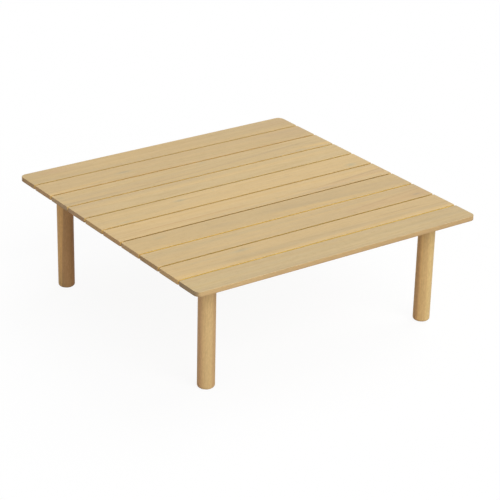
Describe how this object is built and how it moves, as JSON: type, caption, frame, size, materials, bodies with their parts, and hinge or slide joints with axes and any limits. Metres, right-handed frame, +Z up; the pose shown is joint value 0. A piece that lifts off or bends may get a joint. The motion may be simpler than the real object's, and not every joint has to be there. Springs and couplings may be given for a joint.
{
  "type": "outdoor coffee table",
  "caption": "Low square outdoor coffee table: narrow-gapped hardwood slats on cross bearers, carried by plain round legs that unscrew, for setting things down on a terrace.",
  "frame": {"origin": "on the floor under the middle of the top", "axes": "+Z up, +X along the slats, +Y across them from the front long side to the back one"},
  "size_m": [1, 1, 0.363],
  "materials": {
    "slat_wood": "fine-sanded pale hardwood, oiled",
    "leg_wood": "turned and sanded pale hardwood, oiled",
    "bearer_wood": "planed pale hardwood, oiled",
    "stainless_steel": "bare stainless steel",
    "plated_steel": "zinc plated",
    "nylon": "moulded black nylon"
  },
  "bodies": {
    "root": {"slat_01": "slat_wood", "slat_02": "slat_wood", "slat_03": "slat_wood", "slat_04": "slat_wood", "slat_05": "slat_wood", "slat_06": "slat_wood", "slat_07": "slat_wood", "slat_08": "slat_wood", "slat_09": "slat_wood", "slat_10": "slat_wood", "bearer_left": "bearer_wood", "slat_screws_left": "stainless_steel", "bearer_middle": "bearer_wood", "slat_screws_middle": "stainless_steel", "bearer_right": "bearer_wood", "slat_screws_right": "stainless_steel", "leg_front_left": "leg_wood", "leg_plate_front_left": "plated_steel", "plate_screws_front_left": "stainless_steel", "hanger_bolt_front_left": "plated_steel", "foot_glide_front_left": "nylon", "leg_front_right": "leg_wood", "leg_plate_front_right": "plated_steel", "plate_screws_front_right": "stainless_steel", "hanger_bolt_front_right": "plated_steel", "foot_glide_front_right": "nylon", "leg_back_left": "leg_wood", "leg_plate_back_left": "plated_steel", "plate_screws_back_left": "stainless_steel", "hanger_bolt_back_left": "plated_steel", "foot_glide_back_left": "nylon", "leg_back_right": "leg_wood", "leg_plate_back_right": "plated_steel", "plate_screws_back_right": "stainless_steel", "hanger_bolt_back_right": "plated_steel", "foot_glide_back_right": "nylon"}
  },
  "joints": []
}
